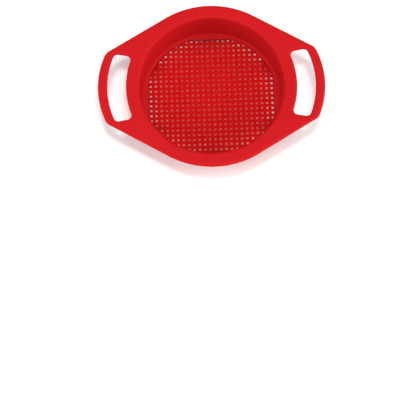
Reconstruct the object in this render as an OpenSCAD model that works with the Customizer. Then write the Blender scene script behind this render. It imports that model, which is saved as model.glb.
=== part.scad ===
// Round two-handled sand sieve, moulded in one plastic with one wall thickness.
// The moulding is drawn as its named regions, and each meets the next face to face.
// Origin: on the surface it stands on, at the centre of the bowl. +Z up, X along the two grips.

/* [Rim] */
// Radius of the rounded front and back of the rim
rim_r = 113; // [108:0.5:118]
// Angle from the X axis at which the straight sides leave the rounded front and back
side_angle = 59.1; // [57:0.1:62]
// Half the length over the two grips
end_x = 148.4; // [146:0.1:151]
// Radius of the outer curve of each grip
end_r = 116.4; // [105:0.1:125]
// Radius of the corner between a straight side and a grip
corner_r = 14.8; // [12:0.1:18]
// Wall thickness of the moulding
wall_t = 2.4; // [2:0.1:2.8]
// Radius of the rolled edge, over its top
edge_r = 4; // [3.4:0.1:4.4]
// Height of the rolled edge, from the top of the rim to the bottom of its lip
edge_h = 5; // [4.8:0.1:8]
// Chamfer along the bottom of the lip
lip_c = 0.5; // [0.2:0.1:0.8]

/* [Hand slots] */
// Radius of the slot's inner side, about the centre of the bowl
slot_in_r = 111.8; // [110:0.1:114]
// Where the slot's outer side crosses the X axis
slot_out_x = 136; // [135:0.1:137]
// Radius of the slot's outer side
slot_out_r = 116; // [108:0.1:122]
// Where the slot's end crosses the line x = 119
slot_end_y = 46.5; // [44:0.1:48]
// Slope of the slot's end
slot_end_a = 10.6; // [6:0.1:14]
// Radius of the slot's inner corners
slot_corner_in = 6.2; // [5:0.1:7]
// Radius of the slot's outer corners
slot_corner_out = 6.2; // [5:0.1:7]
// Half the length of the straight-cut grip bar
grip_y = 40; // [36:0.5:41]

/* [Bowl] */
// Height of the whole sieve
height = 53.8; // [50:0.1:57]
// Inside radius of the wall where its line meets the top of the rim
mouth_r = 94.4; // [93:0.1:96]
// Inside radius of the wall where its line meets the top of the mesh
foot_r = 91.4; // [91:0.1:92.5]
// Radius of the shoulder between the rim and the wall
shoulder_r = 4.3; // [3.4:0.1:6]
// Inside radius of the corner at the foot of the wall
floor_fillet = 2.5; // [2:0.1:3]
// Height of the six feet under the floor
foot_h = 7; // [5:0.1:8]
// Radius of the inner face of the feet
foot_in = 87.1; // [86.9:0.1:87.3]
// Radius of the outer face of the feet
foot_out = 88.9; // [88.6:0.1:89]
// Angle that each foot takes along its circle
foot_a = 14; // [10:1:24]

/* [Mesh] */
// Distance from one hole to the next
pitch = 7; // [6.9:0.05:7.1]
// Side of each square hole, halfway down
hole = 3.3; // [3:0.1:3.9]
// Holes across the middle, both ways
holes_across = 24; // [24:2:24]
// Thickness of the mesh
mesh_t = 2.4; // [1.8:0.1:2.4]
// Radius of the circle that cuts off the outermost holes
mesh_r = 86.7; // [86.2:0.1:86.8]

/* [Hidden] */
$fn = 128;
red = [0.84, 0.09, 0.12];

top = height;
joint_gap = 0.002; // between two stretches of a rolled edge
floor_z = foot_h + wall_t; // top of the mesh and of the ring around it

// Outline: tangent points and arc centres of the corner with x > 0 and y > 0
side_n = [cos(side_angle), sin(side_angle)];
side_t = [sin(side_angle), -cos(side_angle)];
end_c = [end_x - end_r, 0];
corner_b = (rim_r - corner_r) * side_n - end_c;
corner_s = -corner_b * side_t + sqrt(pow(corner_b * side_t, 2) - corner_b * corner_b + pow(end_r - corner_r, 2));
corner_c = (rim_r - corner_r) * side_n + corner_s * side_t;
corner_v = (corner_c - end_c) / (end_r - corner_r);
corner_a = atan2(corner_v.y, corner_v.x);

// Slot: the same for its corners, on the side with x > 0 and y > 0
slot_c = [slot_out_x - slot_out_r, 0];
slot_d = [cos(slot_end_a), sin(slot_end_a)];
slot_n = [-sin(slot_end_a), cos(slot_end_a)];
function on_end(c, far, r, way) =
    let (b = [119, slot_end_y] - slot_n * r - c, k = b * slot_d, s = sqrt(k * k - b * b + far * far))
    c + b + (-k + way * s) * slot_d;
slot_c1 = on_end([0, 0], slot_in_r + slot_corner_in, slot_corner_in, 1);
slot_c2 = on_end(slot_c, slot_out_r - slot_corner_out, slot_corner_out, 1);
slot_a1 = atan2(slot_c1.y, slot_c1.x);
slot_v2 = (slot_c2 - slot_c) / (slot_out_r - slot_corner_out);
slot_a2 = atan2(slot_v2.y, slot_v2.x);

// Bowl section: draft of the wall and centres of its two rounded corners, as [radius, z]
draft = atan((mouth_r - foot_r) / (top - floor_z));
shoulder_c = [mouth_r + shoulder_r * (1 - sin(draft)) / cos(draft), top - shoulder_r];
fillet_c = [mouth_r - (floor_fillet + (top - floor_z - floor_fillet) * sin(draft)) / cos(draft), floor_z + floor_fillet];
wall_n = [cos(draft), -sin(draft)];

// Ring between two radii, between two angles less than 180 degrees apart
module pie_ring(r1, r0, a0, a1) {
    m = (a0 + a1) / 2;
    difference() {
        intersection() {
            circle(r1);
            polygon([[0, 0], 2 * r1 * [cos(a0), sin(a0)], 2.5 * r1 * [cos(m), sin(m)], 2 * r1 * [cos(a1), sin(a1)]]);
        }
        circle(r0);
    }
}

// Points along an arc
function arc(c, r, a0, a1, n) = [for (i = [0:n]) let (a = a0 + (a1 - a0) * i / n) c + r * [cos(a), sin(a)]];

// A quarter of the flat plate's border, from the Y axis to the X axis: the rolled edge takes
// edge_r off outside and around the slot, and the grip bar takes the part beyond the slot
quarter = concat(
    arc([0, 0], rim_r - edge_r, 90, side_angle, 31),
    arc(corner_c, corner_r - edge_r, side_angle, corner_a, 14),
    arc(end_c, end_r - edge_r, corner_a, asin(grip_y / (end_r - edge_r)), 4),
    arc(slot_c, slot_out_r + edge_r, asin(grip_y / (slot_out_r + edge_r)), slot_a2, 3),
    arc(slot_c2, slot_corner_out + edge_r, slot_a2, 90 + slot_end_a, 15),
    arc(slot_c1, slot_corner_in + edge_r, 90 + slot_end_a, 180 + slot_a1, 20),
    arc([0, 0], slot_in_r - edge_r, slot_a1, 0, 20)
);
half = concat(quarter, [for (i = [len(quarter) - 2:-1:0]) [quarter[i].x, -quarter[i].y]]);
border = concat(half, [for (i = [len(half) - 2:-1:1]) [-half[i].x, half[i].y]]);

// Section of the rolled edge: x = 0 where the flat rim ends, y = 0 at the top
module edge_section() {
    translate([0, -edge_r]) pie_ring(edge_r, edge_r - wall_t, 0, 90);
    polygon([
        [edge_r - wall_t, -edge_r], [edge_r - wall_t, lip_c - edge_h], [edge_r - wall_t + lip_c, -edge_h],
        [edge_r - lip_c, -edge_h], [edge_r, lip_c - edge_h], [edge_r, -edge_r]
    ]);
}

// Rolled edge around an arc whose side face has radius r: way 1 faces outwards, way -1 inwards
module edge_arc(c, r, a0, a1, way) {
    g = joint_gap / r * 180 / PI;
    translate([c.x, c.y, top]) rotate([0, 0, a0 + g]) rotate_extrude(angle = a1 - a0 - 2 * g)
        translate([r - way * edge_r, 0]) scale([way, 1]) edge_section();
}

// Rolled edge along a straight line from p to q, with its side face on the left when way is 1
module edge_line(p, q, way) {
    v = q - p;
    translate([p.x, p.y, top]) rotate([0, 0, atan2(v.y, v.x)]) rotate([90, 0, 90]) translate([0, 0, joint_gap])
        linear_extrude(norm(v) - 2 * joint_gap) translate([-way * edge_r, 0]) scale([way, 1]) edge_section();
}

// Whole ring of rolled edge, cut where it is used
module edge_ring(c, r, way) {
    translate([c.x, c.y, top]) rotate_extrude() translate([r - way * edge_r, 0]) scale([way, 1]) edge_section();
}

// Keeps what lies beyond the end of the grip bar, on the side with x > 0 and y > 0
module beyond_grip() {
    intersection() {
        children();
        translate([100, grip_y, 0]) cube([100, 50, 2 * height]);
    }
}

module rim_edge() {
    edge_arc([0, 0], rim_r, side_angle, 180 - side_angle, 1);
    for (m = [0, 1]) mirror([m, 0, 0]) {
        edge_line(corner_c + corner_r * side_n, rim_r * side_n, -1);
        edge_arc(corner_c, corner_r, corner_a, side_angle, 1);
        beyond_grip() edge_arc(end_c, end_r, corner_a - 10, corner_a, 1);
    }
}

module slot_edge() {
    edge_arc([0, 0], slot_in_r, -slot_a1, slot_a1, 1);
    for (m = [0, 1]) mirror([0, m, 0]) {
        edge_arc(slot_c1, slot_corner_in, 90 + slot_end_a, 180 + slot_a1, -1);
        edge_line(slot_c1 + slot_corner_in * slot_n, slot_c2 + slot_corner_out * slot_n, -1);
        edge_arc(slot_c2, slot_corner_out, slot_a2, 90 + slot_end_a, -1);
        beyond_grip() edge_arc(slot_c, slot_out_r, slot_a2 - 10, slot_a2, -1);
    }
}

module grip() intersection() {
    union() {
        translate([0, 0, top - wall_t]) linear_extrude(wall_t) difference() {
            translate(end_c) circle(end_r - edge_r);
            translate(slot_c) circle(slot_out_r + edge_r);
        }
        edge_ring(end_c, end_r, 1);
        edge_ring(slot_c, slot_out_r, -1);
    }
    translate([100, -grip_y, 0]) cube([100, 2 * grip_y, 2 * height]);
}

module rim_plate() color(red) {
    translate([0, 0, top - wall_t]) linear_extrude(wall_t) difference() {
        polygon(border);
        circle(shoulder_c.x);
    }
}

module rolled_edge_front() color(red) mirror([0, 1, 0]) rim_edge();

module rolled_edge_back() color(red) rim_edge();

module grip_left() color(red) mirror([1, 0, 0]) grip();

module grip_right() color(red) grip();

module slot_edge_left() color(red) mirror([1, 0, 0]) slot_edge();

module slot_edge_right() color(red) slot_edge();

module mouth_shoulder() color(red) {
    rotate_extrude() translate(shoulder_c) pie_ring(shoulder_r, shoulder_r - wall_t, 90, 180 - draft);
}

module bowl_wall() color(red) {
    up = shoulder_c - shoulder_r * wall_n;
    down = fillet_c + floor_fillet * wall_n;
    rotate_extrude() polygon([up, up + wall_t * wall_n, down + wall_t * wall_n, down]);
}

module floor_ring() color(red) {
    rotate_extrude() translate(fillet_c) pie_ring(floor_fillet + wall_t, floor_fillet, -90, -draft);
    translate([0, 0, foot_h]) linear_extrude(wall_t) difference() {
        circle(fillet_c.x);
        mesh_field();
    }
}

module feet() color(red) for (a = [30:60:330]) {
    linear_extrude(foot_h) pie_ring(foot_out, foot_in, a - foot_a / 2, a + foot_a / 2);
}

// The part of the floor that is mesh
module mesh_field() {
    side = (holes_across - 1) * pitch + hole;
    intersection() {
        circle(mesh_r);
        square(side, center = true);
    }
}

module sieve_mesh() color(red) {
    last = (holes_across - 1) / 2;
    translate([0, 0, floor_z - mesh_t]) linear_extrude(mesh_t) difference() {
        mesh_field();
        for (i = [-last:last], j = [-last:last])
            if (norm([max(abs(i) * pitch - hole / 2, 0), max(abs(j) * pitch - hole / 2, 0)]) < mesh_r)
                translate([i * pitch, j * pitch]) square(hole, center = true);
    }
}

rim_plate();
rolled_edge_front();
rolled_edge_back();
grip_left();
grip_right();
slot_edge_left();
slot_edge_right();
mouth_shoulder();
bowl_wall();
floor_ring();
feet();
sieve_mesh();
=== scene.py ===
import math

import bpy
import numpy as np
from mathutils import Matrix, Vector
from mathutils.geometry import delaunay_2d_cdt


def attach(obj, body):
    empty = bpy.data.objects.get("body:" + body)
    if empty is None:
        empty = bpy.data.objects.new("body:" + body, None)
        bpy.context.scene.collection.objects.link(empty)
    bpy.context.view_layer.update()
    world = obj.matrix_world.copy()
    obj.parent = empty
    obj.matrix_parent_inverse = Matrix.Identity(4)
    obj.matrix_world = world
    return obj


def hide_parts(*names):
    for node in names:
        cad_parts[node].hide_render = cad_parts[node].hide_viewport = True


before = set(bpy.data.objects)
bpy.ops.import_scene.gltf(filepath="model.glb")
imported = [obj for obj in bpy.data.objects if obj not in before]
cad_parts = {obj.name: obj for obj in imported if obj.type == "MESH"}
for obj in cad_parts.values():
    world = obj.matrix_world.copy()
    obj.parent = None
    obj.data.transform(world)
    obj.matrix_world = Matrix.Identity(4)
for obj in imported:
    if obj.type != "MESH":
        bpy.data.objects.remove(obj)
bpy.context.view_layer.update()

# ---------------------------------------------------------------------------------------------
# The sieve's dimensions, in millimetres. Derived values follow the same rules as the CAD model.
# ---------------------------------------------------------------------------------------------
RIM_R, SIDE_A = 113.0, 59.1
END_X, END_R, CORNER_R = 148.4, 116.4, 14.8
WALL_T, EDGE_R, EDGE_H = 2.4, 4.0, 5.0
SLOT_IN_R, SLOT_OUT_X, SLOT_OUT_R = 111.8, 136.0, 116.0
SLOT_END_Y, SLOT_END_A, SLOT_CORNER_IN, SLOT_CORNER_OUT = 46.5, 10.6, 6.2, 6.2
GRIP_Y = 40.0
HEIGHT, MOUTH_R, FOOT_R = 53.8, 94.4, 91.4
SHOULDER_R, FLOOR_FILLET = 4.3, 2.5
FOOT_H, FOOT_IN, FOOT_OUT, FOOT_A = 7.0, 87.1, 88.9, 14.0
PITCH, HOLE, ACROSS, MESH_T, MESH_R = 7.0, 3.6, 24, 2.4, 86.7    # HOLE at the top

TOP = HEIGHT
FLOOR_Z = FOOT_H + WALL_T
LIP_R = 0.7          # rounding of the lip's two lower corners
MARK_STEP = 0.07     # witness step along the lip, where the two mould halves meet
SEG_ROUND = 288      # segments around the bowl


def rad(a):
    return a * math.pi / 180


def unit(a):
    return np.array([math.cos(rad(a)), math.sin(rad(a))])


side_n = unit(SIDE_A)
side_t = np.array([side_n[1], -side_n[0]])
end_c = np.array([END_X - END_R, 0.0])
corner_b = (RIM_R - CORNER_R) * side_n - end_c
corner_s = -corner_b @ side_t + math.sqrt((corner_b @ side_t) ** 2 - corner_b @ corner_b + (END_R - CORNER_R) ** 2)
corner_c = (RIM_R - CORNER_R) * side_n + corner_s * side_t
corner_a = math.degrees(math.atan2(*((corner_c - end_c)[::-1])))

slot_c = np.array([SLOT_OUT_X - SLOT_OUT_R, 0.0])
slot_d = unit(SLOT_END_A)
slot_n = np.array([-slot_d[1], slot_d[0]])


def on_end(c, far, r, way):
    b = np.array([119.0, SLOT_END_Y]) - slot_n * r - c
    k = b @ slot_d
    return c + b + (-k + way * math.sqrt(k * k - b @ b + far * far)) * slot_d


slot_c1 = on_end(np.zeros(2), SLOT_IN_R + SLOT_CORNER_IN, SLOT_CORNER_IN, 1)
slot_c2 = on_end(slot_c, SLOT_OUT_R - SLOT_CORNER_OUT, SLOT_CORNER_OUT, 1)
slot_a1 = math.degrees(math.atan2(slot_c1[1], slot_c1[0]))
slot_a2 = math.degrees(math.atan2(*((slot_c2 - slot_c)[::-1])))

draft = math.degrees(math.atan((MOUTH_R - FOOT_R) / (TOP - FLOOR_Z)))
shoulder_c = (MOUTH_R + SHOULDER_R * (1 - math.sin(rad(draft))) / math.cos(rad(draft)), TOP - SHOULDER_R)
fillet_c = (
    MOUTH_R - (FLOOR_FILLET + (TOP - FLOOR_Z - FLOOR_FILLET) * math.sin(rad(draft))) / math.cos(rad(draft)),
    FLOOR_Z + FLOOR_FILLET,
)
wall_n = np.array([math.cos(rad(draft)), -math.sin(rad(draft))])


# ---------------------------------------------------------------------------------------------
# Mesh building: patches with a normal at each corner, welded into one closed mesh
# ---------------------------------------------------------------------------------------------
class Patches:
    """Faces as blocks [faces, corners, 3] of points, with the normals at their corners."""

    def __init__(self):
        self.blocks = []

    def add(self, points, normals):
        P, N = np.asarray(points, float), np.asarray(normals, float)
        self.blocks.append((P[None], N[None]) if P.ndim == 2 else (P, N))

    def flat(self, points, normal):
        P = np.asarray(points, float)
        self.add(P, np.broadcast_to(np.asarray(normal, float), P.shape))

    def grid(self, P, N, loop_u=False, loop_v=False, keep=None):
        """P and N are arrays [u, v, 3]; keep says which sides along v are drawn."""
        nu, nv = P.shape[:2]
        a = np.arange(nu if loop_u else nu - 1)
        c = np.arange(nv if loop_v else nv - 1)
        if keep is not None:
            c = c[np.asarray(keep)[:len(c)]]
        b, d = (a + 1) % nu, (c + 1) % nv
        A, C = np.meshgrid(a, c, indexing="ij")
        B, D = np.meshgrid(b, d, indexing="ij")
        k = [(A.ravel(), C.ravel()), (B.ravel(), C.ravel()), (B.ravel(), D.ravel()), (A.ravel(), D.ravel())]
        self.add(np.stack([P[q] for q in k], 1), np.stack([N[q] for q in k], 1))

    def build(self, name):
        """Welds the corners, turns every face outwards and returns the object."""
        corners = np.concatenate([P.reshape(-1, 3) for P, N in self.blocks])
        key = np.floor(corners * 5000.0 + 0.3183).astype(np.int64)
        _, first, index = np.unique(key, axis=0, return_index=True, return_inverse=True)
        index, verts, at = index.ravel(), corners[first], 0
        faces, corner_normals = [], []
        for P, N in self.blocks:
            n, k = P.shape[:2]
            ids = index[at:at + n * k].reshape(n, k)
            at += n * k
            p = verts[ids]
            area = sum(np.cross(p[:, j] - p[:, 0], p[:, j + 1] - p[:, 0]) for j in range(1, k - 1))
            back = (area * N.sum(1)).sum(1) < 0
            ids = np.where(back[:, None], ids[:, ::-1], ids)
            N = np.where(back[:, None, None], N[:, ::-1], N)
            fine = np.linalg.norm(area, axis=1) > 1e-7
            single = (ids != np.roll(ids, 1, 1)).all(1)
            for f in np.nonzero(fine & ~single)[0]:
                pick = [j for j in range(k) if ids[f, j] != ids[f, j - 1]]
                if len(pick) > 2:
                    faces.append([int(j) for j in ids[f, pick]])
                    corner_normals.append(N[f, pick])
            ok = fine & single
            faces.extend(ids[ok].tolist())
            corner_normals.append(N[ok].reshape(-1, 3))
        me = bpy.data.meshes.new(name)
        me.from_pydata((verts * 0.001).tolist(), [], faces)
        me.polygons.foreach_set("use_smooth", [True] * len(faces))
        me.update()
        cn = np.concatenate(corner_normals)
        cn = cn / np.maximum(np.linalg.norm(cn, axis=1), 1e-9)[:, None]
        me.normals_split_custom_set(cn.tolist())
        me.update()
        o = bpy.data.objects.new(name, me)
        bpy.context.scene.collection.objects.link(o)
        return o


def tri(outer, holes, inside=None):
    """Triangles that fill a polygon with holes, as point triples."""
    pts, edges = [], []
    for ring in [outer] + list(holes):
        k = len(pts)
        pts += [Vector((float(x), float(y))) for x, y in ring]
        edges += [(k + i, k + (i + 1) % len(ring)) for i in range(len(ring))]
    v, _, f, *_ = delaunay_2d_cdt(pts, edges, [], 1, 1e-7)
    v = np.array([(p.x, p.y) for p in v])
    f = np.array([list(t) for t in f])
    c = v[f].mean(1)
    keep = in_polygon(c, outer)
    for h in holes:
        h = np.asarray(h)
        near = (c[:, 0] > h[:, 0].min()) & (c[:, 0] < h[:, 0].max()) & (c[:, 1] > h[:, 1].min()) & (c[:, 1] < h[:, 1].max()) & keep
        if near.any():
            k = np.nonzero(near)[0]
            keep[k[in_polygon(c[k], h)]] = False
    return v[f[keep]]


def in_polygon(p, ring):
    ring = np.asarray(ring, float)
    a, b = ring, np.roll(ring, -1, 0)
    out = np.zeros(len(p), bool)
    for s in range(0, len(p), 4000):
        q = p[s:s + 4000]
        x, y = q[:, 0][:, None], q[:, 1][:, None]
        cross = (a[None, :, 1] > y) != (b[None, :, 1] > y)
        dy = np.where(b[:, 1] == a[:, 1], 1e-30, b[:, 1] - a[:, 1])
        xi = a[None, :, 0] + (y - a[None, :, 1]) * ((b[:, 0] - a[:, 0]) / dy)[None, :]
        out[s:s + 4000] = (cross & (x < xi)).sum(1) % 2 == 1
    return out


def plane(patches, outer, holes, z, up):
    t = tri(outer, holes)
    patches.flat(np.dstack([t, np.full(t.shape[:2], z)]), (0, 0, 1 if up else -1))


def wall(patches, ring, z0, z1, inward):
    """Upright side of a flat plate along a closed ring of points."""
    p = np.asarray(ring, float)
    q = np.roll(p, -1, 0)
    s = (1 if np.sum(p[:, 0] * q[:, 1] - q[:, 0] * p[:, 1]) > 0 else -1) * (-1 if inward else 1)
    d = (q - p) / np.maximum(np.linalg.norm(q - p, axis=1), 1e-12)[:, None]
    n = np.stack([s * d[:, 1], -s * d[:, 0], 0 * d[:, 0]], -1)

    def at(x, z):
        return np.column_stack([x, np.full(len(x), z)])

    patches.add(np.stack([at(p, z0), at(q, z0), at(q, z1), at(p, z1)], 1), np.repeat(n[:, None], 4, 1))


# ---------------------------------------------------------------------------------------------
# Rolled edge: a section swept along stations. u runs from the flat rim (0) to the side face (EDGE_R)
# ---------------------------------------------------------------------------------------------
def edge_section():
    """Points [u, w] with normals [nu, nw], w = 0 at the top. The last side, back to the first point, is the joint with the plate."""
    out = []

    def arc(cu, cw, r, a0, a1, n, sign=1):
        for k in range(n + 1):
            a = rad(a0 + (a1 - a0) * k / n)
            out.append((cu + r * math.cos(a), cw + r * math.sin(a), sign * math.cos(a), sign * math.sin(a)))

    arc(0, -EDGE_R, EDGE_R, 90, 0, 14)
    u = EDGE_R - MARK_STEP
    if EDGE_H - EDGE_R - LIP_R > 0.12:
        w = -EDGE_R - 0.06
        out.append((EDGE_R, w, 1, 0))
        out.append((u, w - 0.05, 1, 0))
    arc(u - LIP_R, -EDGE_H + LIP_R, LIP_R, 0, -90, 6)
    i = EDGE_R - WALL_T
    arc(i + LIP_R, -EDGE_H + LIP_R, LIP_R, -90, -180, 6)
    arc(0, -EDGE_R, i, 0, 90, 8, -1)
    return np.array(out)


SECTION = edge_section()


def arc_station(c, R, way, angle):
    """angle: one number, or one for each point of the section."""
    u = SECTION[:, 0]
    r = R - way * (EDGE_R - u)
    a = np.full(len(u), rad(angle)) if np.isscalar(angle) else np.asarray(angle)
    d = np.stack([np.cos(a), np.sin(a)], -1)
    return np.asarray(c) + d * r[:, None], way * d


def line_station(p, n):
    """p on the side face, n the way the side face looks."""
    u = SECTION[:, 0]
    return np.asarray(p) - (EDGE_R - u)[:, None] * np.asarray(n), np.tile(n, (len(u), 1))


def cut_angles(c, R, way, y):
    """Angle at which each point of the section meets the plane at this y."""
    r = R - way * (EDGE_R - SECTION[:, 0])
    return np.arcsin(y / r)


def to_mesh(stations):
    P = np.zeros((len(stations), len(SECTION), 3))
    N = np.zeros_like(P)
    for k, (xy, n) in enumerate(stations):
        P[k, :, :2], P[k, :, 2] = xy, TOP + SECTION[:, 1]
        N[k, :, :2], N[k, :, 2] = n * SECTION[:, 2:3], SECTION[:, 3]
    return P, N


def sweep(stations):
    pt = Patches()
    P, N = to_mesh(stations)
    pt.grid(P, N)
    for k in range(len(stations) - 1):   # the joint with the plate
        a, b = P[k], P[k + 1]
        n = N[k, 0] * 0
        d = (b[0] - a[0])[:2]
        out = (P[k, 14] - P[k, 0])[:2]
        m = np.array([d[1], -d[0]])
        m = -m if m @ out > 0 else m
        pt.flat([a[-1], b[-1], b[0], a[0]], (*m / max(np.linalg.norm(m), 1e-12), 0))
    for k, way in ((0, -1), (len(stations) - 1, 1)):   # the two ends
        ring = P[k]
        t = P[min(k + 1, len(stations) - 1)].mean(0) - P[max(k - 1, 0)].mean(0)
        cap(pt, ring, way * t / np.linalg.norm(t), [tuple(q) for q in SECTION[:, :2]])
    return pt


def cap(pt, ring, normal, flat2d):
    """Fills one end of a sweep, using the section's own plane."""
    f2 = np.asarray(flat2d)
    for t in tri(f2, []):
        ids = [int(np.argmin(np.hypot(*(f2 - p).T))) for p in t]
        pt.flat([ring[i] for i in ids], tuple(normal))


# Stations of the rim's edge from the cut at the right grip (y = GRIP_Y) round the back to the left one
def rim_stations():
    R = []
    cut = cut_angles(end_c, END_R, 1, GRIP_Y)
    for k in range(4):
        R.append(arc_station(end_c, END_R, 1, cut + (rad(corner_a) - cut) * k / 3))
    for k in range(1, 15):
        R.append(arc_station(corner_c, CORNER_R, 1, corner_a + (SIDE_A - corner_a) * k / 14))
    p, q = corner_c + CORNER_R * side_n, RIM_R * side_n
    for k in range(1, 9):
        R.append(line_station(p + (q - p) * k / 8, side_n))
    for k in range(1, 25):
        R.append(arc_station((0, 0), RIM_R, 1, SIDE_A + (90 - SIDE_A) * k / 24))
    return R + [mirror_x(s) for s in R[-2::-1]]


def mirror_x(s):
    f = np.array([-1.0, 1.0])
    return s[0] * f, s[1] * f


def mirror_y(s):
    f = np.array([1.0, -1.0])
    return s[0] * f, s[1] * f


# Stations of the slot's edge from the cut at y = GRIP_Y round the bowl's side to y = -GRIP_Y
def slot_stations():
    S = []
    cut = cut_angles(slot_c, SLOT_OUT_R, -1, GRIP_Y)
    for k in range(3):
        S.append(arc_station(slot_c, SLOT_OUT_R, -1, cut + (rad(slot_a2) - cut) * k / 2))
    for k in range(1, 21):
        S.append(arc_station(slot_c2, SLOT_CORNER_OUT, -1, slot_a2 + (90 + SLOT_END_A - slot_a2) * k / 20))
    p, q = slot_c2 + SLOT_CORNER_OUT * slot_n, slot_c1 + SLOT_CORNER_IN * slot_n
    for k in range(1, 5):
        S.append(line_station(p + (q - p) * k / 4, -slot_n))
    a0, a1 = 90 + SLOT_END_A, 180 + slot_a1
    for k in range(1, 25):
        S.append(arc_station(slot_c1, SLOT_CORNER_IN, -1, a0 + (a1 - a0) * k / 24))
    for k in range(1, 15):
        S.append(arc_station((0, 0), SLOT_IN_R, 1, slot_a1 * (1 - k / 14)))
    return S + [mirror_y(s) for s in S[-2::-1]]


RIM = rim_stations()
SLOT = slot_stations()


# ---------------------------------------------------------------------------------------------
# Pieces
# ---------------------------------------------------------------------------------------------
def mirrored(pt, sx, sy):
    m = Patches()
    f = np.array([sx, sy, 1.0])
    m.blocks = [(P * f, N * f) for P, N in pt.blocks]
    return m


def revolve(profile, joints, seg=SEG_ROUND):
    """profile: rows [r, z, nr, nz] around a closed loop; joints: loop sides that are flat faces, by their first index."""
    pt = Patches()
    prof = np.array(profile)
    a = np.arange(seg) * 2 * math.pi / seg
    P = np.zeros((seg, len(prof), 3))
    N = np.zeros_like(P)
    P[:, :, 0] = np.cos(a)[:, None] * prof[:, 0]
    P[:, :, 1] = np.sin(a)[:, None] * prof[:, 0]
    P[:, :, 2] = prof[:, 1]
    N[:, :, 0] = np.cos(a)[:, None] * prof[:, 2]
    N[:, :, 1] = np.sin(a)[:, None] * prof[:, 2]
    N[:, :, 2] = prof[:, 3]
    n = len(prof)
    pt.grid(P, N, loop_u=True, loop_v=True, keep=[j not in joints for j in range(n)])
    for j in joints:
        k = (j + 1) % n
        d = prof[k, :2] - prof[j, :2]
        m = np.array([d[1], -d[0]]) / np.linalg.norm(d)
        c = prof[:, :2].mean(0)
        if m @ ((prof[j, :2] + prof[k, :2]) / 2 - c) < 0:
            m = -m
        b = (np.arange(seg) + 1) % seg
        F = np.column_stack([np.cos(a) * m[0], np.sin(a) * m[0], np.full(seg, m[1])])
        pt.add(np.stack([P[:, j], P[b, j], P[b, k], P[:, k]], 1), np.stack([F, F[b], F[b], F], 1))
    return pt


def arc_rows(c, r, a0, a1, n, sign):
    rows = []
    for k in range(n + 1):
        a = rad(a0 + (a1 - a0) * k / n)
        rows.append((c[0] + r * math.cos(a), c[1] + r * math.sin(a), sign * math.cos(a), sign * math.sin(a)))
    return rows


def circle(r, seg=SEG_ROUND):
    a = np.arange(seg) * 2 * math.pi / seg
    return np.stack([r * np.cos(a), r * np.sin(a)], -1)


pieces = {}

# The shoulder that turns the rim down into the bowl
rows = arc_rows(shoulder_c, SHOULDER_R, 90, 180 - draft, 14, 1)
n_out = len(rows)
rows += arc_rows(shoulder_c, SHOULDER_R - WALL_T, 180 - draft, 90, 8, -1)
pieces["mouth_shoulder"] = revolve(rows, [n_out - 1, len(rows) - 1]).build("mouth_shoulder_skin")

# The wall
up = np.array(shoulder_c) - SHOULDER_R * wall_n
down = np.array(fillet_c) + FLOOR_FILLET * wall_n
rows = [(*(up + (down - up) * k / 10), *-wall_n) for k in range(11)]
rows += [(*(down + WALL_T * wall_n + (up - down) * k / 10), *wall_n) for k in range(11)]
pieces["bowl_wall"] = revolve(rows, [10, 21]).build("bowl_wall_skin")

# The border between the flat ring and the mesh
LAND = 0.4
HALF = (ACROSS - 1) / 2 * PITCH + HOLE / 2 + LAND
FIELD_R = MESH_R + 0.3


def field_ring():
    a1 = math.degrees(math.acos(HALF / FIELD_R))
    ring = []
    for q in range(4):
        for k in range(25):
            a = a1 + (90 - 2 * a1) * k / 24 + 90 * q
            ring.append(FIELD_R * unit(a))
    return np.array(ring)


FIELD = field_ring()

# The rounded foot of the wall and the flat ring
pt = Patches()
rows = arc_rows(fillet_c, FLOOR_FILLET, -draft, -90, 10, -1)
n_in = len(rows)
rows += arc_rows(fillet_c, FLOOR_FILLET + WALL_T, -90, -draft, 14, 1)
ring_pt = revolve(rows, [len(rows) - 1])
fc = circle(fillet_c[0])
for P, N in ring_pt.blocks:      # without the upright face that the flat ring carries on from
    out = np.hypot(P[:, :, 0], P[:, :, 1]).max(1) - fillet_c[0] > 1e-6
    pt.add(P[out], N[out])
plane(pt, fc, [FIELD], FLOOR_Z, True)
plane(pt, fc, [FIELD], FOOT_H, False)
wall(pt, FIELD, FOOT_H, FLOOR_Z, True)
pieces["floor_ring"] = pt.build("floor_ring_skin")

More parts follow.
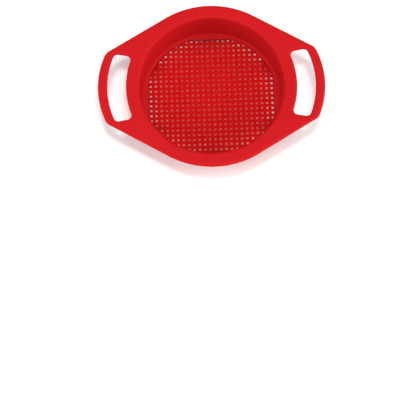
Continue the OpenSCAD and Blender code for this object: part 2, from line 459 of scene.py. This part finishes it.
# The feet: short stretches of a ring, rounded below and at both ends
def foot(pt, middle):
    b, R = 0.5, 1.6
    rm, hw = (FOOT_IN + FOOT_OUT) / 2, (FOOT_OUT - FOOT_IN) / 2
    half = rad(FOOT_A / 2) * rm
    near = np.array([0, 0.03, 0.1, 0.2, 0.34, 0.5, 0.75, 1.1, 1.6])
    xs = np.concatenate([near - half, np.linspace(1.6 - half, half - 1.6, 15)[1:-1], half - near[::-1]])
    P = []
    for x in xs:
        d = half - abs(x)
        w = hw - b + math.sqrt(max(b * b - (b - min(d, b)) ** 2, 0))
        z0 = R - math.sqrt(max(R * R - (R - min(d, R)) ** 2, 0))
        c = min(b, 0.9 * w)
        prof = [(w, FOOT_H), (w, (FOOT_H + z0 + c) / 2)]
        prof += [(w - c + c * math.cos(rad(q)), z0 + c + c * math.sin(rad(q))) for q in (0, -18, -36, -54, -72, -90)]
        prof += [(-u, z) for u, z in prof[::-1]]
        a = rad(middle) + x / rm
        P.append([((rm + u) * math.cos(a), (rm + u) * math.sin(a), z) for u, z in prof])
    P = np.array(P)
    N = np.cross(np.gradient(P, axis=0), np.gradient(P, axis=1))
    N /= np.maximum(np.linalg.norm(N, axis=2), 1e-12)[:, :, None]
    N *= np.where(((P - P.mean(1)[:, None]) * N).sum(2) < 0, -1.0, 1.0)[:, :, None]
    pt.grid(P, N)
    pt.flat(np.stack([P[:-1, 0], P[1:, 0], P[1:, -1], P[:-1, -1]], 1), (0, 0, 1))
    for k, way in ((0, -1), (len(xs) - 1, 1)):
        a = rad(middle) + xs[k] / rm
        cap(pt, P[k], (-way * math.sin(a), way * math.cos(a), 0), [(np.hypot(q[0], q[1]), q[2]) for q in P[k]])


pt = Patches()
for middle in range(30, 360, 60):
    foot(pt, middle)
pieces["feet"] = pt.build("feet_skin")

# The rolled edges
edge = sweep(RIM)
pieces["rolled_edge_back"] = edge.build("rolled_edge_back_skin")
pieces["rolled_edge_front"] = mirrored(edge, 1, -1).build("rolled_edge_front_skin")
edge = sweep(SLOT)
pieces["slot_edge_right"] = edge.build("slot_edge_right_skin")
pieces["slot_edge_left"] = mirrored(edge, -1, 1).build("slot_edge_left_skin")

# The grips: sections at steps of y, each point on its own circle
def grip():
    ys = np.linspace(-GRIP_Y, GRIP_Y, 41)
    out, inn = [], []
    for y in ys:
        out.append(arc_station(end_c, END_R, 1, cut_angles(end_c, END_R, 1, y)))
        inn.append(arc_station(slot_c, SLOT_OUT_R, -1, cut_angles(slot_c, SLOT_OUT_R, -1, y)))
    Po, No = to_mesh(out)
    Pi, Ni = to_mesh(inn)
    pt = Patches()
    pt.grid(Po, No)
    pt.grid(Pi, Ni)
    m = 3
    for k in range(len(ys) - 1):
        for w, nz in ((0, 1), (-1, -1)):
            for j in range(m):
                f = [j / m, (j + 1) / m]
                q = [Po[k, w] * (1 - f[0]) + Pi[k, w] * f[0], Po[k + 1, w] * (1 - f[0]) + Pi[k + 1, w] * f[0],
                     Po[k + 1, w] * (1 - f[1]) + Pi[k + 1, w] * f[1], Po[k, w] * (1 - f[1]) + Pi[k, w] * f[1]]
                pt.flat(q, (0, 0, nz))
    for k, way in ((0, -1), (len(ys) - 1, 1)):
        web = [Po[k, -1] * (1 - j / m) + Pi[k, -1] * j / m for j in range(1, m)]
        web2 = [Pi[k, 0] * (1 - j / m) + Po[k, 0] * j / m for j in range(1, m)]
        ring = np.array(list(Po[k]) + web + list(Pi[k][::-1]) + web2)
        cap(pt, ring, (0, way, 0), [(p[0], p[2]) for p in ring])
    return pt


g = grip()
pieces["grip_right"] = g.build("grip_right_skin")
pieces["grip_left"] = mirrored(g, -1, 1).build("grip_left_skin")

# The flat plate: its border follows the first point of every section of the rolled edges
quarter = [s[0][0] for s in RIM[:len(RIM) // 2 + 1]][::-1]          # Y axis to the cut
right = [s[0][0] for s in SLOT]                                       # cut to cut, round the slot
m = 3
web = [quarter[-1] * (1 - j / m) + right[0] * j / m for j in range(1, m)]
half = quarter + web + right + [p * (1, -1) for p in web[::-1]] + [p * (1, -1) for p in quarter[::-1]]
border = half + [p * (-1, 1) for p in half[-2:0:-1]]
border = np.array(border)
ejector = [103.9 * unit(a) for a in (67, 90, 113, 247, 270, 293)] + [
    np.array(p) for p in ((97.0, 48.0), (-97.0, 48.0), (-97.0, -48.0), (97.0, -48.0))]
PIN_R, PIN_D = 2.5, 0.15
pins = [c + circle(PIN_R, 40) for c in ejector]
hub = circle(shoulder_c[0])
pt = Patches()
plane(pt, border, [hub], TOP, True)
plane(pt, border, [hub] + pins, TOP - WALL_T, False)
for c, ring in zip(ejector, pins):
    z0, z1 = TOP - WALL_T, TOP - WALL_T + PIN_D
    small = c + circle(PIN_R - 0.12, 40)
    for k in range(40):
        j = (k + 1) % 40
        d0, d1 = ring[k] - c, ring[j] - c
        d0, d1 = -d0 / PIN_R, -d1 / PIN_R
        pt.add([(*ring[k], z0), (*ring[j], z0), (*small[j], z1), (*small[k], z1)],
               [(*d0, -0.6), (*d1, -0.6), (*d1, -0.6), (*d0, -0.6)])
    plane(pt, small, [], z1, False)
wall(pt, border, TOP - WALL_T, TOP, False)
wall(pt, hub, TOP - WALL_T, TOP, True)
pieces["rim_plate"] = pt.build("rim_plate_skin")


# ---------------------------------------------------------------------------------------------
# The mesh floor
# ---------------------------------------------------------------------------------------------
def clip(poly, n, d):
    """The part of a convex polygon where n.p <= d."""
    out = []
    for k in range(len(poly)):
        p, q = poly[k], poly[(k + 1) % len(poly)]
        a, b = n @ p - d, n @ q - d
        if a <= 0:
            out.append(p)
        if (a < 0 < b) or (b < 0 < a):
            out.append(p + (q - p) * a / (a - b))
    return out


def area(poly):
    p = np.asarray(poly)
    return 0.5 * np.sum(p[:, 0] * np.roll(p[:, 1], -1) - np.roll(p[:, 0], -1) * p[:, 1])


def inset(poly, r):
    out = [np.array(p) for p in poly]
    for k in range(len(poly)):
        p, q = poly[k], poly[(k + 1) % len(poly)]
        d = (q - p) / np.linalg.norm(q - p)
        n = np.array([d[1], -d[0]])          # outwards, on a counter-clockwise polygon
        out = clip(out, n, n @ p - r)
        if len(out) < 3:
            return []
    clean = [out[k] for k in range(len(out)) if np.linalg.norm(out[k] - out[k - 1]) > 1e-4]
    return clean if len(clean) >= 3 else []


def fans(poly, steps=3):
    """For an inset polygon: each corner with the directions between its two sides' normals."""
    out = []
    n = len(poly)
    ang = []
    for k in range(n):
        d = poly[(k + 1) % n] - poly[k]
        ang.append(math.atan2(-d[0], d[1]))   # angle of the outward normal (d.y, -d.x)
    for k in range(n):
        a0, a1 = ang[k - 1], ang[k]
        turn = (a1 - a0) % (2 * math.pi)
        s = max(1, round(steps * turn / (math.pi / 2)))
        for j in range(s + 1):
            out.append((poly[k], a0 + turn * j / s))
    return out


def mesh_holes():
    last = (ACROSS - 1) / 2
    found = []
    ks = [i - last for i in range(ACROSS)]
    for i in ks:
        for j in ks:
            c = np.array([i, j]) * PITCH
            h = HOLE / 2
            sq = [c + np.array(s) * h for s in ((-1, -1), (1, -1), (1, 1), (-1, 1))]
            far = max(np.hypot(*p) for p in sq)
            lim = MESH_R - 0.1
            if far > lim:
                n = c / np.hypot(*c)
                sq = clip(sq, n, lim)
                if len(sq) < 3 or area(sq) < 1.2:
                    continue
                sq = [sq[k] for k in range(len(sq)) if np.linalg.norm(sq[k] - sq[k - 1]) > 0.02]
                if len(sq) < 3:
                    continue
            for rc in (0.55, 0.4, 0.25):
                core = inset(sq, rc)
                if len(core) >= 3 and area(core) > 0.15:
                    found.append((fans(core), rc))
                    break
    return found


HOLES = mesh_holes()
TOP_R, LOW_R, TAPER = 0.3, 0.25, 0.3     # TOP_R stays under LAND and under the 0.4 left outside the clipped holes
z_low = FLOOR_Z - MESH_T
pt = Patches()
level = []          # [offset outwards, z, normal inwards share, normal z]
for k in range(5):
    a = rad(90 * k / 4)
    level.append((TOP_R * (1 - math.sin(a)), FLOOR_Z - TOP_R * (1 - math.cos(a)), math.sin(a), math.cos(a)))
for k in range(4):
    a = rad(90 * k / 3)
    level.append((-TAPER + LOW_R * (1 - math.cos(a)), z_low + LOW_R * (1 - math.sin(a)), math.cos(a), -math.sin(a)))
top_rings, low_rings = [], []
for corners, rc in HOLES:
    at = np.array([c for c, a in corners])
    d = np.array([(math.cos(a), math.sin(a)) for c, a in corners])
    P = np.zeros((len(corners), len(level), 3))
    N = np.zeros_like(P)
    for k, (o, z, nh, nz) in enumerate(level):
        P[:, k, :2] = at + d * max(rc + o, 0.02)
        P[:, k, 2] = z
        N[:, k, :2] = -d * nh
        N[:, k, 2] = nz
    pt.grid(P, N, loop_u=True)
    top_rings.append(P[:, 0, :2].copy())
    low_rings.append(P[:, -1, :2].copy())
plane(pt, FIELD, top_rings, FLOOR_Z, True)
plane(pt, FIELD, low_rings, z_low, False)
wall(pt, FIELD, z_low, FLOOR_Z, False)
pieces["sieve_mesh"] = pt.build("sieve_mesh_skin")


# ---------------------------------------------------------------------------------------------
# Materials
# ---------------------------------------------------------------------------------------------
def moulded(name, base, rough, through, tint):
    """through: share of the light that enters the plastic and comes out on its far side; tint: its colour there."""
    m = bpy.data.materials.new(name)
    m.use_nodes = True
    nt = m.node_tree
    nodes, links = nt.nodes, nt.links
    bsdf = nodes["Principled BSDF"]
    coord = nodes.new("ShaderNodeTexCoord")

    def noise(scale, detail, roughness=0.5, stretch=None):
        n = nodes.new("ShaderNodeTexNoise")
        n.inputs["Scale"].default_value = scale
        n.inputs["Detail"].default_value = detail
        n.inputs["Roughness"].default_value = roughness
        src = coord.outputs["Object"]
        if stretch:
            mp = nodes.new("ShaderNodeMapping")
            mp.inputs["Rotation"].default_value = stretch[0]
            mp.inputs["Scale"].default_value = stretch[1]
            links.new(src, mp.inputs["Vector"])
            src = mp.outputs["Vector"]
        links.new(src, n.inputs["Vector"])
        return n.outputs["Fac"]

    def ramp(src, stops):
        r = nodes.new("ShaderNodeValToRGB")
        e = r.color_ramp.elements
        e[0].position, e[0].color = stops[0][0], stops[0][1]
        e[1].position, e[1].color = stops[-1][0], stops[-1][1]
        for pos, col in stops[1:-1]:
            x = e.new(pos)
            x.color = col
        links.new(src, r.inputs["Fac"])
        return r.outputs["Color"]

    def rng(src, a, b, c, d):
        n = nodes.new("ShaderNodeMapRange")
        n.inputs["From Min"].default_value, n.inputs["From Max"].default_value = a, b
        n.inputs["To Min"].default_value, n.inputs["To Max"].default_value = c, d
        links.new(src, n.inputs["Value"])
        return n.outputs["Result"]

    def math_(op, x, y):
        n = nodes.new("ShaderNodeMath")
        n.operation = op
        for k, s in enumerate((x, y)):
            if isinstance(s, (int, float)):
                n.inputs[k].default_value = s
            else:
                links.new(s, n.inputs[k])
        return n.outputs[0]

    # Colour: the pigment is a touch uneven, as it flowed in
    flow = noise(14, 3, 0.55, ((0, 0, 0.5), (1, 0.35, 1)))
    lo = tuple(c * 0.955 for c in base) + (1,)
    hi = tuple(min(1, c * 1.035 + 0.0006) for c in base) + (1,)
    links.new(ramp(flow, [(0.3, lo), (0.5, tuple(base) + (1,)), (0.72, hi)]), bsdf.inputs["Base Color"])

    # Roughness: satin, with softer and glossier patches and a few faint rub marks
    patch = rng(noise(38, 4, 0.6), 0.3, 0.7, rough - 0.035, rough + 0.045)
    rub = rng(noise(260, 3, 0.62, ((0.2, 0.1, 0.9), (1, 0.05, 1))), 0.62, 0.8, 0.0, 0.10)
    rub2 = rng(noise(300, 3, 0.62, ((0.1, 0.3, -0.6), (0.045, 1, 1))), 0.64, 0.8, 0.0, 0.09)
    links.new(math_("ADD", math_("ADD", patch, rub), rub2), bsdf.inputs["Roughness"])

    # Surface: slow orange peel under a fine spark-eroded grain
    peel = noise(420, 2, 0.45)
    grain = noise(3400, 2, 0.6)
    h = math_("ADD", math_("MULTIPLY", peel, 0.8), math_("MULTIPLY", grain, 0.2))
    b = nodes.new("ShaderNodeBump")
    b.inputs["Strength"].default_value = 0.35
    b.inputs["Distance"].default_value = 0.00006
    links.new(h, b.inputs["Height"])
    links.new(b.outputs["Normal"], bsdf.inputs["Normal"])
    bsdf.inputs["IOR"].default_value = 1.49
    bsdf.inputs["Specular IOR Level"].default_value = 0.03

    # Thin coloured plastic lets some light through
    inner = nodes.new("ShaderNodeBsdfTranslucent")
    inner.inputs["Color"].default_value = (*tint, 1)
    mix = nodes.new("ShaderNodeMixShader")
    mix.inputs["Fac"].default_value = through
    out = nodes["Material Output"]
    links.new(bsdf.outputs["BSDF"], mix.inputs[1])
    links.new(inner.outputs["BSDF"], mix.inputs[2])
    links.new(mix.outputs["Shader"], out.inputs["Surface"])
    return m


skin = moulded("moulded_red", (0.47, 0.0083, 0.0112), 0.42, 0.03, (0.8, 0.015, 0.022))
# The mesh's plastic: its red comes from light carried through the thin bars, but the faint grey in its base colour is
# painted sheen
mesh_red_with_painted_sheen = moulded("moulded_red_thin", (0.08, 0.05, 0.053), 0.42, 0.86, (0.97, 0.02, 0.026))

for node, o in pieces.items():
    o.data.materials.append(mesh_red_with_painted_sheen if node == "sieve_mesh" else skin)
    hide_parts(node)
    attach(o, "root")

# ---------------------------------------------------------------------------------------------
# Studio
# ---------------------------------------------------------------------------------------------
floor_me = bpy.data.meshes.new("studio_floor")
s = 6.0
floor_me.from_pydata([(-s, -s, 0), (s, -s, 0), (s, s, 0), (-s, s, 0)], [], [(0, 1, 2, 3)])
floor = bpy.data.objects.new("studio_floor", floor_me)
bpy.context.scene.collection.objects.link(floor)
fm = bpy.data.materials.new("studio_floor")
fm.use_nodes = True
fb = fm.node_tree.nodes["Principled BSDF"]
fb.inputs["Base Color"].default_value = (0.93, 0.93, 0.93, 1)
fb.inputs["Roughness"].default_value = 0.75
fb.inputs["Specular IOR Level"].default_value = 0.1
floor_me.materials.append(fm)

world = bpy.data.worlds.new("studio")
bpy.context.scene.world = world
world.use_nodes = True
world.node_tree.nodes["Background"].inputs["Color"].default_value = (1, 1, 1, 1)
world.node_tree.nodes["Background"].inputs["Strength"].default_value = 0.4


def softlight(name, zenith, azimuth, angle, strength):
    """A wide, far light. zenith: degrees from straight above; azimuth: degrees from +X towards +Y; angle: its apparent width."""
    d = bpy.data.lights.new(name, "SUN")
    d.energy = strength
    d.angle = rad(angle)
    o = bpy.data.objects.new(name, d)
    h = unit(azimuth) * math.sin(rad(zenith))
    o.rotation_euler = Vector((h[0], h[1], math.cos(rad(zenith)))).to_track_quat("Z", "Y").to_euler()
    bpy.context.scene.collection.objects.link(o)


softlight("overhead", 0, 0, 8, 1.0)
softlight("overhead_right_back", 12, 45, 8, 0.18)
softlight("overhead_right_front", 12, 315, 8, 0.38)
softlight("side_right", 68, 0, 40, 1.8)
softlight("side_left", 68, 180, 40, 1.7)
softlight("side_front", 68, 270, 40, 0.85)
softlight("side_front_right", 68, 315, 40, 0.75)

# The camera's place and turn come from a fit to the mesh in the photograph
cam_data = bpy.data.cameras.new("photo_view")
cam = bpy.data.objects.new("photo_view", cam_data)
bpy.context.scene.collection.objects.link(cam)
cam_data.sensor_fit = "HORIZONTAL"
cam_data.sensor_width = 36.0
cam_data.lens = 144.37
cam_data.clip_start, cam_data.clip_end = 0.05, 30
cx = Vector((0.999491, -0.031855, -0.001962))
cy = Vector((0.030889, 0.950047, 0.310574))
cz = Vector((-0.008029, -0.310477, 0.950547))
m = Matrix.Identity(4)
for k in range(3):
    m[k][0], m[k][1], m[k][2] = cx[k], cy[k], cz[k]
m[0][3], m[1][3], m[2][3] = -0.02473, -0.83684, 2.0878
cam.matrix_world = m
bpy.context.scene.camera = cam
bpy.context.scene.view_settings.view_transform = "Standard"
bpy.context.scene.view_settings.look = "None"
